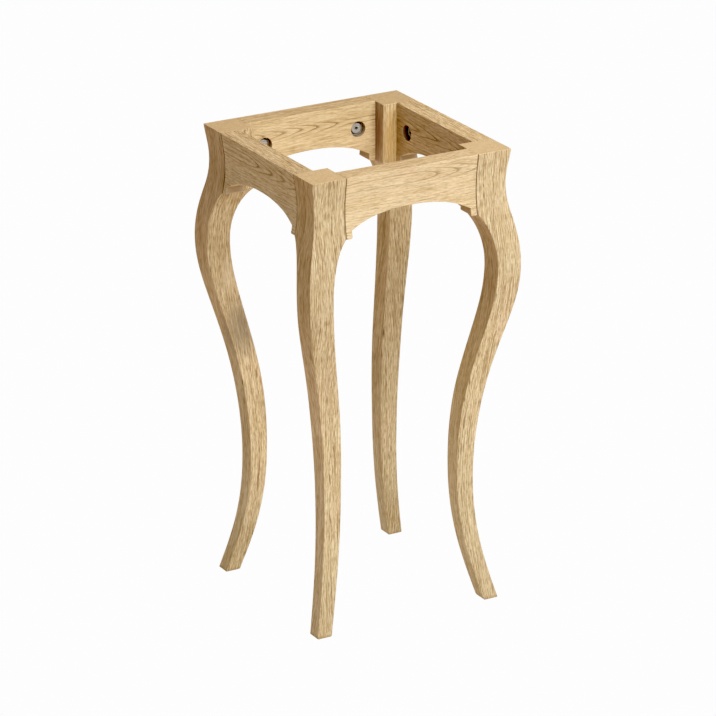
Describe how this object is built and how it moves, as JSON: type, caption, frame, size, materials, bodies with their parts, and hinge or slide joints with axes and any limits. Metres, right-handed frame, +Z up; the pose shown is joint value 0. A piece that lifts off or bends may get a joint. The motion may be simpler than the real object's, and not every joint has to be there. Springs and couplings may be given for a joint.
{
  "type": "console table frame",
  "caption": "Square light oak console table frame with S-curved legs, arched aprons and hidden knock-down joints, open at the top for a board.",
  "frame": {"origin": "middle of the footprint, on the floor", "axes": "+Z up along the legs, +X to the right along the front apron, -Y to the front; all four sides are alike"},
  "size_m": [0.3576, 0.3576, 0.72],
  "materials": {
    "leg_oak": "light natural oak, matt oiled, vertical grain",
    "apron_oak": "light natural oak, matt oiled, lengthwise grain",
    "cam_zinc": "dull die-cast zinc",
    "bolt_steel": "bright zinc-plated steel",
    "dowel_beech": "plain beech"
  },
  "bodies": {
    "root": {"leg_back_left": "leg_oak", "leg_back_right": "leg_oak", "leg_front_left": "leg_oak", "leg_front_right": "leg_oak", "apron_back": "apron_oak", "apron_left": "apron_oak", "apron_front": "apron_oak", "apron_right": "apron_oak", "cam_back_at_back_right": "cam_zinc", "bolt_back_at_back_right": "bolt_steel", "dowel_upper_back_at_back_right": "dowel_beech", "dowel_lower_back_at_back_right": "dowel_beech", "cam_back_at_back_left": "cam_zinc", "bolt_back_at_back_left": "bolt_steel", "dowel_upper_back_at_back_left": "dowel_beech", "dowel_lower_back_at_back_left": "dowel_beech", "cam_left_at_back_left": "cam_zinc", "bolt_left_at_back_left": "bolt_steel", "dowel_upper_left_at_back_left": "dowel_beech", "dowel_lower_left_at_back_left": "dowel_beech", "cam_left_at_front_left": "cam_zinc", "bolt_left_at_front_left": "bolt_steel", "dowel_upper_left_at_front_left": "dowel_beech", "dowel_lower_left_at_front_left": "dowel_beech", "cam_front_at_front_left": "cam_zinc", "bolt_front_at_front_left": "bolt_steel", "dowel_upper_front_at_front_left": "dowel_beech", "dowel_lower_front_at_front_left": "dowel_beech", "cam_front_at_front_right": "cam_zinc", "bolt_front_at_front_right": "bolt_steel", "dowel_upper_front_at_front_right": "dowel_beech", "dowel_lower_front_at_front_right": "dowel_beech", "cam_right_at_front_right": "cam_zinc", "bolt_right_at_front_right": "bolt_steel", "dowel_upper_right_at_front_right": "dowel_beech", "dowel_lower_right_at_front_right": "dowel_beech", "cam_right_at_back_right": "cam_zinc", "bolt_right_at_back_right": "bolt_steel", "dowel_upper_right_at_back_right": "dowel_beech", "dowel_lower_right_at_back_right": "dowel_beech"}
  },
  "joints": []
}
